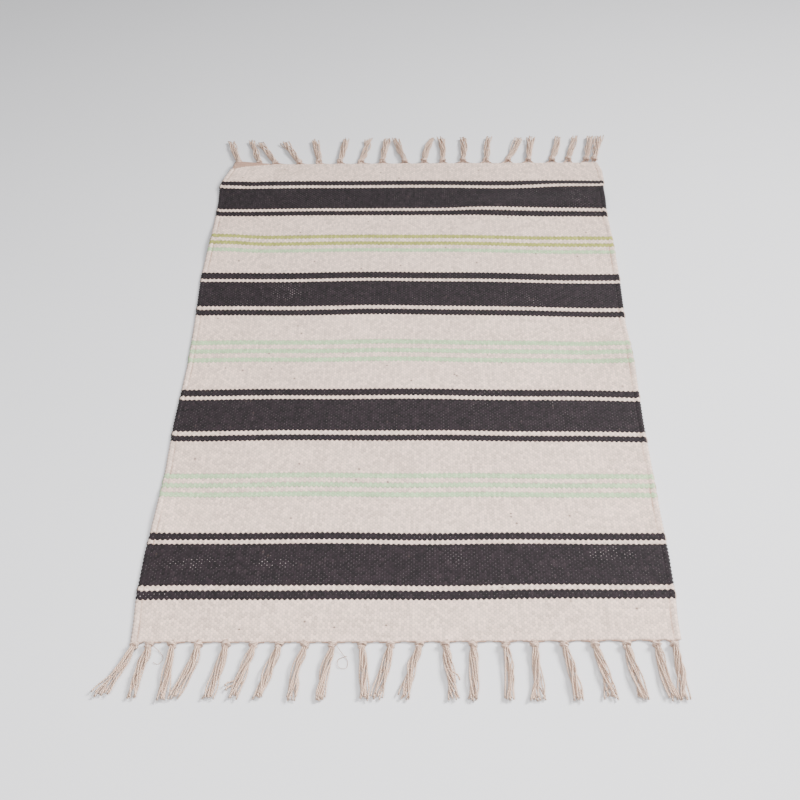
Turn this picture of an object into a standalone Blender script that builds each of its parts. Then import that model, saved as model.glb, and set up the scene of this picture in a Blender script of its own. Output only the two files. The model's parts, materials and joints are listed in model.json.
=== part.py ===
"""Striped flat-woven cotton bath mat with a knotted fringe at both ends.

The mat lies flat with its underside at z = 0 and its origin at the middle of that underside.
X runs across the mat, Y from its near end to its far end, and lengths are in metres.
A thin sheet of warp threads runs the length of the mat. The weft yarns close round it as
sleeves, one for each stretch of one colour. Past the last weft the warp threads gather into
knots, and their loose ends hang from each knot as a tassel. The warp sheet and the weft
part at the line where the mat folds in two.
"""

import math

import bmesh
import bpy

# Cloth
CLOTH_WIDTH = 0.600
CLOTH_THICKNESS = 0.0035
CLEARANCE = 0.0003
WARP_THICKNESS = 0.0011
SELVEDGE_WALL = 0.0032
CARRY_WIDTH = 0.0015
LONGEST_CARRY = 0.020
FOLD_LINE = 0.508

# Stripes from the near end to the far end. A broad group is a thin stripe, a line of the
# ground colour, a wide stripe, a line and a thin stripe. A pin group is three narrow stripes.
FIELDS = (0.0550, 0.0555, 0.0550, 0.0525, 0.0525, 0.0475, 0.0490, 0.0489)
BROAD_GROUPS = (
    (0.0110, 0.0080, 0.0580, 0.0070, 0.0090),
    (0.0085, 0.0085, 0.0550, 0.0075, 0.0110),
    (0.0105, 0.0085, 0.0525, 0.0070, 0.0130),
    (0.0100, 0.0075, 0.0525, 0.0080, 0.0105),
)
PIN_GROUPS = (
    ("mint", "mint", "mint"),
    ("mint", "mint", "mint"),
    ("mint", "lime", "lime"),
)
PIN_WIDTHS = (0.0075, 0.0083, 0.0080)
PIN_LINES = (0.0075, 0.0088, 0.0083)

# Fringe
KNOT_DIAMETER = 0.0090
KNOT_GAP = 0.0005
KNOT_SEGMENTS = 8
KNOT_RINGS = 6
NECK_ROOT_WIDTH = 0.0100
NECK_TIP_WIDTH = 0.0040
NECK_ROOT_REACH = 0.0006
TASSEL_LENGTH = 0.0660
TASSEL_SIDES = 8

# Width, height and place along the tassel of the sections that shape its bundle of threads.
TASSEL_SECTIONS = (
    (0.0050, 0.0050, 0.00),
    (0.0086, 0.0056, 0.20),
    (0.0090, 0.0050, 0.55),
    (0.0064, 0.0036, 1.00),
)

# Each tassel's knot and tip across the mat, as shares of half its width.
NEAR_TASSELS = (
    (-0.977, -1.066), (-0.923, -0.950), (-0.840, -0.843), (-0.743, -0.793), (-0.643, -0.685),
    (-0.543, -0.593), (-0.450, -0.514), (-0.357, -0.395), (-0.257, -0.283), (-0.150, -0.135),
    (-0.047, -0.096), (0.057, 0.000), (0.150, 0.181), (0.250, 0.242), (0.367, 0.374),
    (0.470, 0.482), (0.577, 0.607), (0.687, 0.729), (0.800, 0.838), (0.907, 0.933),
    (0.970, 0.978),
)
FAR_TASSELS = (
    (-0.933, -1.009), (-0.823, -0.891), (-0.737, -0.843), (-0.607, -0.710), (-0.500, -0.538),
    (-0.387, -0.367), (-0.273, -0.235), (-0.157, -0.137), (-0.037, -0.094), (0.067, 0.112),
    (0.167, 0.163), (0.277, 0.281), (0.400, 0.423), (0.517, 0.592), (0.627, 0.653),
    (0.753, 0.803), (0.840, 0.901), (0.937, 0.990), (0.980, 1.040),
)

# Yarn colours, linear
CREAM = (0.70, 0.64, 0.60)
CHARCOAL = (0.065, 0.052, 0.058)
MINT = (0.55, 0.66, 0.53)
LIME = (0.52, 0.54, 0.30)
WARP = (0.68, 0.61, 0.55)
FRINGE = (0.66, 0.58, 0.52)
COTTON_ROUGHNESS = 0.9
YARN_COLOURS = {"cream": CREAM, "charcoal": CHARCOAL, "mint": MINT, "lime": LIME}
SHARP_EDGE_ANGLE = math.radians(40)

# The ground yarn is carried up the right selvedge, and the coloured yarns up the left.
RIGHT_CARRIED = "cream"

HALF_WIDTH = CLOTH_WIDTH / 2
BAND_EDGE = HALF_WIDTH - CARRY_WIDTH - CLEARANCE
CARRY_INNER = HALF_WIDTH - CARRY_WIDTH
CHANNEL_HALF_WIDTH = BAND_EDGE - SELVEDGE_WALL
CHANNEL_HEIGHT = WARP_THICKNESS + 2 * CLEARANCE
MIDDLE_HEIGHT = CLOTH_THICKNESS / 2
KNOT_RADIUS = KNOT_DIAMETER / 2
KNOT_SETBACK = KNOT_RADIUS + KNOT_GAP
TASSEL_START = KNOT_RADIUS + CLEARANCE


def clear_scene():
    for old in list(bpy.data.objects):
        bpy.data.objects.remove(old, do_unlink=True)


def cotton(name, colour):
    """A matt cotton yarn of one colour."""
    material = bpy.data.materials.new(name)
    material.use_nodes = True
    shader = material.node_tree.nodes["Principled BSDF"]
    shader.inputs["Base Color"].default_value = (*colour, 1)
    shader.inputs["Roughness"].default_value = COTTON_ROUGHNESS
    shader.inputs["Metallic"].default_value = 0
    return material


def add_object(name, bm, material):
    """Put the bmesh in the scene as a named object, and free it."""
    bmesh.ops.recalc_face_normals(bm, faces=bm.faces)
    mesh = bpy.data.meshes.new(name)
    bm.to_mesh(mesh)
    bm.free()
    if material:
        mesh.materials.append(material)
    added = bpy.data.objects.new(name, mesh)
    bpy.context.scene.collection.objects.link(added)
    return added


def shade_round(added):
    added.data.shade_smooth()
    added.data.set_sharp_from_angle(angle=SHARP_EDGE_ANGLE)


def slab(outline, low, high):
    """A flat solid with this outline in X and Y, between two heights."""
    bm = bmesh.new()
    face = bm.faces.new([bm.verts.new((x, y, low)) for x, y in outline])
    raised = bmesh.ops.extrude_face_region(bm, geom=[face])
    top = [item for item in raised["geom"] if isinstance(item, bmesh.types.BMVert)]
    bmesh.ops.translate(bm, verts=top, vec=(0, 0, high - low))
    return bm


def combine(target, other, operation):
    """Union with the other object, or cut by it, which leaves the other as a hidden tool."""
    other.hide_render = True
    other.display_type = "WIRE"
    boolean = target.modifiers.new(operation.title(), "BOOLEAN")
    boolean.operation = operation
    boolean.solver = "EXACT"
    boolean.object = other


def stripe_plan():
    """Every stripe as (yarn, width), from the near end to the far end."""
    plan = []
    for number, field in enumerate(FIELDS):
        plan.append(("cream", field))
        group = number // 2
        if number % 2 == 0:
            yarns = ("charcoal", "cream", "charcoal", "cream", "charcoal")
            plan.extend(zip(yarns, BROAD_GROUPS[group]))
        elif group < len(PIN_GROUPS):
            first, second, third = PIN_GROUPS[group]
            pin, line = PIN_WIDTHS[group], PIN_LINES[group]
            plan.extend(((first, pin), ("cream", line), (second, pin), ("cream", line), (third, pin)))
    return plan


PLAN = stripe_plan()
HALF_LENGTH = sum(width for yarn, width in PLAN) / 2
FOLD_Y = FOLD_LINE - HALF_LENGTH


def weft_bands():
    """Every band as [yarn, start, end] along Y, with half a clearance at each neighbour."""
    bands = []
    y = -HALF_LENGTH
    for yarn, width in PLAN:
        bands.append([yarn, y, y + width])
        if y < FOLD_Y < y + width:
            bands[-1][2] = FOLD_Y
            bands.append([yarn, FOLD_Y, y + width])
        y += width
    for before, after in zip(bands, bands[1:]):
        before[2] -= CLEARANCE / 2
        after[1] += CLEARANCE / 2
    return bands


def weft_runs():
    """Bands of one yarn that one unbroken length of it weaves, as (yarn, [(start, end), ...]).

    The weaver carries a yarn up the selvedge past a narrow stripe, and cuts it at a wide one.
    """
    runs = []
    latest = {}
    for yarn, start, end in weft_bands():
        run = latest.get(yarn)
        carried = run and start - run[-1][1] < LONGEST_CARRY
        crosses_fold = run and run[-1][1] < FOLD_Y < start
        if carried and not crosses_fold:
            run.append((start, end))
        else:
            latest[yarn] = [(start, end)]
            runs.append((yarn, latest[yarn]))
    return runs


def comb_outline(bands, side):
    """Bands joined by the carried yarn along one selvedge: side is -1 for left, 1 for right."""
    outer = side * HALF_WIDTH
    inner = side * CARRY_INNER
    opposite = -side * BAND_EDGE
    outline = [(outer, bands[0][0])]
    for number, (start, end) in enumerate(bands):
        if number:
            outline.append((inner, start))
        outline += [(opposite, start), (opposite, end)]
        if number < len(bands) - 1:
            outline.append((inner, end))
    outline.append((outer, bands[-1][1]))
    return outline


def warp_channel():
    """The space inside the weft that the warp sheet lies in."""
    reach = HALF_LENGTH + CLOTH_WIDTH
    corners = [(-1, -1), (1, -1), (1, 1), (-1, 1)]
    outline = [(x * CHANNEL_HALF_WIDTH, y * reach) for x, y in corners]
    low = MIDDLE_HEIGHT - CHANNEL_HEIGHT / 2
    return add_object("warp_channel", slab(outline, low, low + CHANNEL_HEIGHT), None)


def weft(materials):
    """One sleeve of weft for each unbroken run of a yarn, numbered from the near end."""
    channel = warp_channel()
    counts = {}
    for yarn, bands in weft_runs():
        counts[yarn] = counts.get(yarn, 0) + 1
        side = 1 if yarn == RIGHT_CARRIED else -1
        outline = comb_outline(bands, side)
        name = f"{yarn}_weft_{counts[yarn]}"
        combine(add_object(name, slab(outline, 0, CLOTH_THICKNESS), materials[yarn]), channel, "DIFFERENCE")


def knot_places(tassels, end):
    """Knot centres along one end of the mat: end is -1 for the near end, 1 for the far end."""
    y = end * (HALF_LENGTH + KNOT_SETBACK)
    return [(knot * HALF_WIDTH, y, KNOT_RADIUS) for knot, tip in tassels]


def knots(name, places):
    """The round knots of one end, as one tool."""
    bm = bmesh.new()
    for place in places:
        made = bmesh.ops.create_uvsphere(
            bm, u_segments=KNOT_SEGMENTS, v_segments=KNOT_RINGS, radius=KNOT_RADIUS
        )
        bmesh.ops.translate(bm, verts=made["verts"], vec=place)
    return add_object(name, bm, None)


def warp_outline(places, end):
    """The warp sheet from the fold to one end, where its threads gather into each knot."""
    half = CHANNEL_HALF_WIDTH - CLEARANCE
    fold = FOLD_Y + end * CLEARANCE / 2
    root = end * (HALF_LENGTH + NECK_ROOT_REACH)
    tip = end * (HALF_LENGTH + KNOT_SETBACK)
    outline = [(-half, fold), (-half, root)]
    for number, (x, y, z) in enumerate(places):
        left = -half if number == 0 else (places[number - 1][0] + x) / 2
        right = half if number == len(places) - 1 else (places[number + 1][0] + x) / 2
        root_left = max(left + CLEARANCE, x - NECK_ROOT_WIDTH / 2)
        root_right = min(right - CLEARANCE, x + NECK_ROOT_WIDTH / 2)
        outline += [(root_left, root), (x - NECK_TIP_WIDTH / 2, tip)]
        outline += [(x + NECK_TIP_WIDTH / 2, tip), (root_right, root)]
    return outline + [(half, root), (half, fold)]


def warp(name, tassels, end, material):
    """The warp threads of one half of the mat, with the knots that they are tied in."""
    places = knot_places(tassels, end)
    low = MIDDLE_HEIGHT - WARP_THICKNESS / 2
    sheet = add_object(name, slab(warp_outline(places, end), low, low + WARP_THICKNESS), material)
    combine(sheet, knots(name + "_knots", places), "UNION")


def tassel_mesh():
    """A flattened bundle of loose threads that runs along +Y from a knot at the origin to the floor."""
    bm = bmesh.new()
    rings = []
    for width, height, along in TASSEL_SECTIONS:
        y = TASSEL_START + along * (TASSEL_LENGTH - TASSEL_START)
        middle = (height / 2 - KNOT_RADIUS) * min(1, along / TASSEL_SECTIONS[1][2])
        ring = []
        for side in range(TASSEL_SIDES):
            angle = math.tau * (side + 0.5) / TASSEL_SIDES
            x = math.cos(angle) * width / 2
            z = middle + math.sin(angle) * height / 2
            ring.append(bm.verts.new((x, y, z)))
        rings.append(ring)
    for lower, upper in zip(rings, rings[1:]):
        for side in range(TASSEL_SIDES):
            following = (side + 1) % TASSEL_SIDES
            bm.faces.new((lower[side], lower[following], upper[following], upper[side]))
    bm.faces.new(rings[0])
    bm.faces.new(rings[-1])
    bmesh.ops.recalc_face_normals(bm, faces=bm.faces)
    return bm


def fringe(name, tassels, end, material):
    """The tassels of one end, each turned about the middle of its knot towards its tip."""
    for number, (place, (knot, tip)) in enumerate(zip(knot_places(tassels, end), tassels), 1):
        lean = math.asin((tip - knot) * HALF_WIDTH / TASSEL_LENGTH)
        tassel = add_object(f"{name}_{number:02d}", tassel_mesh(), material)
        tassel.location = place
        tassel.rotation_euler.z = -lean if end > 0 else math.pi + lean
        shade_round(tassel)


def main():
    clear_scene()
    weft({yarn: cotton(yarn + "_yarn", colour) for yarn, colour in YARN_COLOURS.items()})
    warp_yarn = cotton("warp_yarn", WARP)
    fringe_yarn = cotton("fringe_yarn", FRINGE)
    warp("warp_near", NEAR_TASSELS, -1, warp_yarn)
    warp("warp_far", FAR_TASSELS, 1, warp_yarn)
    fringe("tassel_near", NEAR_TASSELS, -1, fringe_yarn)
    fringe("tassel_far", FAR_TASSELS, 1, fringe_yarn)


main()
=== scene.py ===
"""A flat-woven striped cotton bath mat with a knotted fringe at both ends, laid out on a floor."""

import json
import math

import bpy
import numpy as np
from bpy.props import FloatProperty, FloatVectorProperty, IntProperty, PointerProperty
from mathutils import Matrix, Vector


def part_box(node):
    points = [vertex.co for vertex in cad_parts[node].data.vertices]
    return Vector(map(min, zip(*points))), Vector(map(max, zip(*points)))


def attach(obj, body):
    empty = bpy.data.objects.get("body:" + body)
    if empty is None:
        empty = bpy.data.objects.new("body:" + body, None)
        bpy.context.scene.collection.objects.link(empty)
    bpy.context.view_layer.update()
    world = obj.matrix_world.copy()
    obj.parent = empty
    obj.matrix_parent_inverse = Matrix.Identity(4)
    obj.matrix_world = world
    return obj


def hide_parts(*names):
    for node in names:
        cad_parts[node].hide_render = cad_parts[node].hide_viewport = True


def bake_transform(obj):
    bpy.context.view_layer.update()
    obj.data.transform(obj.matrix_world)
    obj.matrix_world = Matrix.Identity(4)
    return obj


bl_info = {
    "name": "Flat-Woven Bath Mat",
    "version": (1, 0, 0),
    "blender": (4, 5, 0),
    "location": "View3D > Sidebar > Bath Mat",
    "description": "Weaves, knots and lays out a striped cotton bath mat",
    "category": "Add Mesh",
}

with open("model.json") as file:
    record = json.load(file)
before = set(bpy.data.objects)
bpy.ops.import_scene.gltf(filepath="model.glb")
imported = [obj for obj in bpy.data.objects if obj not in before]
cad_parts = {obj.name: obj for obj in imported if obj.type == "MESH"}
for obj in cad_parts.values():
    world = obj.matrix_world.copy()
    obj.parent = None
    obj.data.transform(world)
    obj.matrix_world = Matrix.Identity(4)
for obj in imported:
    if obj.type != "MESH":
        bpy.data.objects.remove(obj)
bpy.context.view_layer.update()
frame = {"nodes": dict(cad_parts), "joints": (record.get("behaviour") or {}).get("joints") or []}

NODES = frame["nodes"]
JOINTS = {joint["child"]: joint for joint in frame["joints"]}
FIRST_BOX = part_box("cream_weft_1")
LAST_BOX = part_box("cream_weft_6")
NEAR_EDGE = FIRST_BOX[0].y
FAR_EDGE = LAST_BOX[1].y
HALF_WIDTH = FIRST_BOX[1].x
THICKNESS = FIRST_BOX[1].z
TAU = 2 * math.pi
GOLDEN_ANGLE = 2.39996

# Cloth. The scallops are measured in half picks, and all lengths here in metres.
CLEARANCE = 0.0003
SCALLOP_REACH = 0.8
DARK_SPREAD = 0.0007
CARRIED_AT_MOST = 0.0205
EDGE_TURN = 0.0006

# The curled far left corner, where the last picks have slid back from the ends of the warps.
CORNER_X = -0.234
CORNER_SLIP = 0.0235
CORNER_SLIP_REACH = 0.067
CORNER_ENDS = 15
CORNER_END_STEP = (0.0040, 0.00152)
CORNER_END_RADIUS = 0.00095

# Gathered warp ends. Their yarn numbers start at GATHERED_FROM, and the material paints shade on
# every strand numbered from there.
GATHERED_FROM = 1000
GATHERED_RADIUS = 0.00055
NECK_START = 0.0022
NECK_HALF_WIDTH = 0.0021
KNOT_TURNS = 1.55
KNOT_STRANDS = 4

# The section of a tassel by share of its length: half width and half height; and its lowest middle.
TASSEL_SHARES = (0, 0.06, 0.2, 0.55, 1.0)
TASSEL_WIDE = (0.0014, 0.0030, 0.0048, 0.0054, 0.0058)
TASSEL_TALL = (0.0014, 0.0026, 0.0032, 0.0028, 0.0018)
TASSEL_LOW = 0.0036
TASSEL_RINGS = 26

# Each woven piece, the CAD nodes it stands for, the halves it rides on, and its yarn.
WOVEN_PIECES = (
    ("woven_cream_1", ("cream_weft_1",), ("near_half",), "cream_yarn"),
    ("woven_charcoal_1", ("charcoal_weft_1",), ("near_half",), "charcoal_yarn"),
    ("woven_cream_2", ("cream_weft_2",), ("near_half",), "cream_yarn"),
    ("woven_mint_1", ("mint_weft_1",), ("near_half",), "mint_yarn"),
    ("woven_charcoal_2", ("charcoal_weft_2",), ("near_half",), "charcoal_yarn"),
    ("woven_mint_2", ("mint_weft_2",), ("near_half",), "mint_yarn"),
    ("woven_cream_3", ("cream_weft_3", "cream_weft_4"), ("near_half", "far_half"), "cream_yarn"),
    ("woven_charcoal_3", ("charcoal_weft_3",), ("far_half",), "charcoal_yarn"),
    ("woven_cream_4", ("cream_weft_5",), ("far_half",), "cream_yarn"),
    ("woven_mint_3", ("mint_weft_3",), ("far_half",), "mint_yarn"),
    ("woven_lime_1", ("lime_weft_1",), ("far_half",), "lime_yarn"),
    ("woven_charcoal_4", ("charcoal_weft_4",), ("far_half",), "charcoal_yarn"),
    ("woven_cream_5", ("cream_weft_6",), ("far_half",), "cream_yarn"),
)

# How far each long edge strays outwards, in mm, by its distance from the near edge in mm.
LEFT_STRAY = ((0, -2.0), (25, -1.0), (60, 2.0), (120, 2.4), (180, -1.0), (250, -2.0), (330, -0.5),
              (430, -3.0), (520, -1.0), (620, 3.6), (710, 0.0), (800, 0.5), (838, 3.0), (848, 0.8),
              (862, -4.5), (876, -10.3), (900, -12.8))
RIGHT_STRAY = ((0, -1.0), (25, -1.2), (60, 1.2), (120, 1.6), (180, 0.2), (330, -1.0), (430, 0.4),
               (520, -2.0), (620, 0.8), (710, 0.8), (770, -1.6), (830, -0.6), (855, 3.0), (880, 2.5),
               (900, -2.5))

# Soft creases near the far right corner: share of the crease height, distance back from the far edge
# at an x, that x, slant, half width, and the x where the crease begins.
CREASES = ((1.0, 0.112, 0.16, 0.10, 0.020, 0.02), (0.55, 0.062, 0.20, -0.06, 0.014, 0.10))
CREASE_RISE = 0.14

# How far the picks trail towards the near end at the right edge, in mm, by the same distance.
PICK_TRAIL = ((0, -2.8), (60, -1.0), (130, 2.5), (220, 5.0), (345, 8.0), (440, 9.5), (580, 11.5),
              (700, 11.5), (805, 10.5), (870, 6.5), (900, 4.0))

# How flat-woven cotton settles.
CLOTH_SETTINGS = {
    "quality": 6, "mass": 0.4, "tension_stiffness": 40, "compression_stiffness": 40,
    "shear_stiffness": 20, "bending_stiffness": 40, "air_damping": 4,
}
SETTLED_AT_MOST = 0.03

# Loose threads: the tassel they start beside, how far to its right, and their turns from there.
STRAY_THREADS = (
    ("tassel_near_09", 0.004, (
        (0, 0, 0.004), (0.006, -0.008, 0.0015), (0.013, -0.018, 0.0006), (0.012, -0.027, 0.0006),
        (0.004, -0.026, 0.0010), (0.003, -0.017, 0.0014), (0.012, -0.012, 0.0006))),
    ("tassel_near_02", 0.003, (
        (0, 0, 0.004), (0.008, -0.006, 0.0012), (0.014, -0.014, 0.0006), (0.010, -0.022, 0.0006),
        (0.004, -0.020, 0.0010))),
)
STRAY_RADIUS = 0.00028
STRAY_RINGS = 40


class BathMatWeave(bpy.types.PropertyGroup):
    """Sizes of the woven cloth"""

    warp_pitch: FloatProperty(
        name="Warp Pitch", description="Distance from one warp to the next across the mat",
        default=0.003, unit="LENGTH")
    pick_pitch: FloatProperty(
        name="Pick Pitch", description="Distance from one weft pick to the next along the mat",
        default=0.0026, unit="LENGTH")
    relief: FloatProperty(
        name="Relief", description="Depth of the hollows between the weft floats",
        default=0.0008, unit="LENGTH")
    float_sway: FloatProperty(
        name="Float Sway", description="How far each weft float bulges sideways over its neighbours",
        default=0.0004, unit="LENGTH")
    selvedge_rise: FloatProperty(
        name="Selvedge Rise", description="Extra thickness of the doubled warps at the selvedges",
        default=0.0008, unit="LENGTH")
    selvedge_warps: IntProperty(
        name="Selvedge Warps", description="Number of doubled warps at each selvedge", default=2)
    carry_radius: FloatProperty(
        name="Carried Yarn Radius", description="Radius of the yarn carried up a selvedge",
        default=0.0008, unit="LENGTH")


class BathMatLie(bpy.types.PropertyGroup):
    """How the cloth lies on the floor"""

    crease_height: FloatProperty(
        name="Crease Height", description="Height of the soft crease near the far right corner",
        default=0.0052, unit="LENGTH")
    corner_lift: FloatProperty(
        name="Corner Lift", description="Height of the curled far left corner",
        default=0.0065, unit="LENGTH")
    edge_ripple: FloatProperty(
        name="Edge Ripple", description="Height of the ripples along the long edges",
        default=0.0022, unit="LENGTH")
    settle_frames: IntProperty(
        name="Settle Frames", description="Frames that the cloth takes to settle", default=24)


class BathMatFringe(bpy.types.PropertyGroup):
    """Sizes of the knotted fringe"""

    strands: IntProperty(name="Strands", description="Strands in each tassel", default=9)
    strand_radius: FloatProperty(
        name="Strand Radius", description="Radius of one two-ply strand",
        default=0.00110, unit="LENGTH")
    ply_pitch: FloatProperty(
        name="Ply Pitch", description="Length of one turn of the two plies",
        default=0.0075, unit="LENGTH")
    knot_turn_radius: FloatProperty(
        name="Knot Turn Radius", description="Radius of the turn of an overhand knot",
        default=0.0035, unit="LENGTH")
    knot_strand_radius: FloatProperty(
        name="Knot Strand Radius", description="Radius of a strand in a knot",
        default=0.00112, unit="LENGTH")


class BathMatColours(bpy.types.PropertyGroup):
    """Colours of the yarns and the floor"""

    cream_yarn: FloatVectorProperty(
        name="Cream Yarn", description="Undyed cotton weft", subtype="COLOR",
        default=(0.700, 0.528, 0.443))
    charcoal_yarn: FloatVectorProperty(
        name="Charcoal Yarn", description="Dark stripe weft", subtype="COLOR",
        default=(0.0106, 0.0060, 0.0083))
    mint_yarn: FloatVectorProperty(
        name="Mint Yarn", description="Pale green stripe weft", subtype="COLOR",
        default=(0.385, 0.530, 0.300))
    lime_yarn: FloatVectorProperty(
        name="Lime Yarn", description="Yellow-green stripe weft", subtype="COLOR",
        default=(0.310, 0.315, 0.075))
    warp_yarn: FloatVectorProperty(
        name="Warp Yarn", description="Cotton warp and its knots", subtype="COLOR",
        default=(0.660, 0.490, 0.400))
    peeping_warp: FloatVectorProperty(
        name="Peeping Warp", description="Warp that shows between dark floats", subtype="COLOR",
        default=(0.540, 0.470, 0.465))
    fringe_yarn: FloatVectorProperty(
        name="Fringe Yarn", description="Loose warp ends of the tassels", subtype="COLOR",
        default=(0.700, 0.500, 0.385))
    # Painted shade: this colour is painted into the grooves between plies, on the gathered warp ends and
    # along the selvedge seam; the random stains on the strands use it too.
    ply_shadow: FloatVectorProperty(
        name="Ply Shadow", description="Warm tone between the plies of a strand", subtype="COLOR",
        default=(0.230, 0.090, 0.042))
    floor: FloatVectorProperty(
        name="Floor", description="Plain pale floor", subtype="COLOR",
        default=(0.645, 0.643, 0.662))


class BathMatStage(bpy.types.PropertyGroup):
    """Camera and studio light"""

    lens: FloatProperty(name="Lens", description="Focal length in millimetres", default=53.40)
    camera_place: FloatVectorProperty(
        name="Camera Place", description="Where the camera stands", subtype="TRANSLATION",
        default=(0.03671, -1.16144, 1.10596))
    camera_turn: FloatVectorProperty(
        name="Camera Turn", description="Turn of the camera", subtype="EULER",
        default=(0.77365, 0.02626, 0.01639))
    softbox_power: FloatProperty(
        name="Softbox Power", description="Power of the softbox on the right in watts", default=69.5)
    fill_power: FloatProperty(
        name="Fill Power", description="Power of the wide fill light in front in watts", default=42.5)
    surround: FloatProperty(
        name="Surround", description="Brightness of the white surroundings", default=0.36)


SETTING_GROUPS = {
    "bath_mat_weave": BathMatWeave,
    "bath_mat_lie": BathMatLie,
    "bath_mat_fringe": BathMatFringe,
    "bath_mat_colours": BathMatColours,
    "bath_mat_stage": BathMatStage,
}


def setting(group):
    """The scene's settings of one group."""
    return getattr(bpy.context.scene, "bath_mat_" + group)


def smooth(share):
    """Eases a share between 0 and 1."""
    share = np.clip(share, 0.0, 1.0)
    return share * share * (3 - 2 * share)


# ---------------------------------------------------------------- meshes

class Surface:
    """Points, faces and yarn coordinates that grow into one mesh."""

    def __init__(self):
        self.points, self.corners, self.sizes = [], [], []
        self.layers = {"Yarn": [], "OFBake": []}
        self.count = 0

    def add_points(self, points):
        """Adds points, and returns the number of the first."""
        first = self.count
        self.points.append(np.asarray(points, float).reshape(-1, 3))
        self.count += len(self.points[-1])
        return first

    def add_faces(self, faces, first, yarn, bake):
        """Adds faces of one size between points counted from first, with each face corner's yarn
        and bake coordinates."""
        self.corners.append((faces + first).reshape(-1))
        self.sizes.append(np.full(len(faces), faces.shape[1]))
        self.layers["Yarn"].append(yarn.reshape(-1, 2))
        self.layers["OFBake"].append(bake.reshape(-1, 2))

    def build(self, name, material):
        """Makes the piece, smooth all over."""
        points = np.concatenate(self.points).astype(np.float32)
        corners = np.concatenate(self.corners).astype(np.int32)
        sizes = np.concatenate(self.sizes).astype(np.int32)
        starts = np.concatenate([[0], np.cumsum(sizes)[:-1]]).astype(np.int32)
        mesh = bpy.data.meshes.new(name)
        mesh.vertices.add(len(points))
        mesh.vertices.foreach_set("co", points.ravel())
        mesh.loops.add(len(corners))
        mesh.loops.foreach_set("vertex_index", corners)
        mesh.polygons.add(len(sizes))
        mesh.polygons.foreach_set("loop_start", starts)
        mesh.polygons.foreach_set("use_smooth", np.ones(len(sizes), bool))
        mesh.update(calc_edges=True)
        for layer, values in self.layers.items():
            uv = mesh.uv_layers.new(name=layer)
            uv.data.foreach_set("uv", np.concatenate(values).astype(np.float32).ravel())
        if mesh.validate():
            raise RuntimeError(f"{name} has faces that don't hold together")
        mesh.materials.append(material)
        made = bpy.data.objects.new(name, mesh)
        bpy.context.scene.collection.objects.link(made)
        return made


def node_points(name):
    """The points of a CAD node."""
    points = np.empty(len(NODES[name].data.vertices) * 3, np.float32)
    NODES[name].data.vertices.foreach_get("co", points)
    return points.reshape(-1, 3).astype(float)


def lengths_along(path):
    """The distance along a path at each of its points."""
    return np.concatenate([[0], np.cumsum(np.linalg.norm(np.diff(path, axis=0), axis=1))])


def corner_values(grid):
    """The values of a grid at the four corners of each of its cells."""
    return np.stack([grid[:-1, :-1], grid[:-1, 1:], grid[1:, 1:], grid[1:, :-1]], axis=2)


def carried_frames(path):
    """Two unit normals at each point of a path, turning as little as they can."""
    along = np.gradient(path, axis=0)
    along /= np.maximum(np.linalg.norm(along, axis=1, keepdims=True), 1e-12)
    side = np.cross(along[0], (0.0, 0.0, 1.0))
    if np.linalg.norm(side) < 0.1:
        side = np.cross(along[0], (1.0, 0.0, 0.0))
    sides = np.empty_like(path)
    for place, direction in enumerate(along):
        side = side - direction * (side @ direction)
        side = side / np.linalg.norm(side)
        sides[place] = side
    return sides, np.cross(sides, along)


def add_strand(surface, path, radius, facets, plies, turn, number, strips):
    """Adds one closed strand along a path. Two plies give it a waisted section that turns with turn,
    in radians at each point. Its yarn coordinates are (number + share round, metres along)."""
    rings = len(path)
    sides, ups = carried_frames(path)
    angles = TAU * np.arange(facets) / facets
    reach = 0.56 + 0.44 * np.abs(np.cos(angles)) if plies == 2 else np.ones(facets)
    radius = np.broadcast_to(np.asarray(radius, float), (rings,))
    turned = angles[None, :] + np.broadcast_to(np.asarray(turn, float), (rings,))[:, None]
    spread = (radius[:, None] * reach[None, :])[..., None]
    first = surface.add_points(path[:, None, :] + spread * (
        np.cos(turned)[..., None] * sides[:, None, :] + np.sin(turned)[..., None] * ups[:, None, :]))
    ring = np.arange(facets)
    after = (ring + 1) % facets
    lower = (np.arange(rings - 1) * facets)[:, None]
    quads = np.stack(
        [lower + ring, lower + after, lower + facets + after, lower + facets + ring], axis=-1)
    lengths = lengths_along(path)
    round_share = np.stack([ring, ring + 1, ring + 1, ring], axis=-1) / facets
    yarn = np.empty(quads.shape + (2,))
    yarn[..., 0] = number + 0.0005 + 0.999 * round_share[None]
    yarn[..., 1] = np.stack([lengths[:-1], lengths[:-1], lengths[1:], lengths[1:]], axis=-1)[:, None, :]
    column, columns, row, rows = strips
    bake = np.empty_like(yarn)
    bake[..., 0] = (column + 0.06 + 0.88 * round_share[None]) / columns
    share = lengths / lengths[-1]
    bake[..., 1] = (row + 0.02 + 0.96 * np.stack(
        [share[:-1], share[:-1], share[1:], share[1:]], axis=-1)[:, None, :]) / rows
    surface.add_faces(quads.reshape(-1, 4), first, yarn, bake)
    ends = np.array([ring[::-1], (rings - 1) * facets + ring])
    end_yarn = np.empty((2, facets, 2))
    end_yarn[..., 0] = number + 0.5
    end_yarn[0, :, 1], end_yarn[1, :, 1] = lengths[0], lengths[-1]
    end_bake = np.empty((2, facets, 2))
    end_bake[..., 0] = (column + 0.5 + 0.02 * np.cos(angles)) / columns
    end_bake[0, :, 1] = (row + 0.01 + 0.004 * np.sin(angles)) / rows
    end_bake[1, :, 1] = (row + 0.99 + 0.004 * np.sin(angles)) / rows
    surface.add_faces(ends, first, end_yarn, end_bake)


# ---------------------------------------------------------------- lie of the cloth

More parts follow.
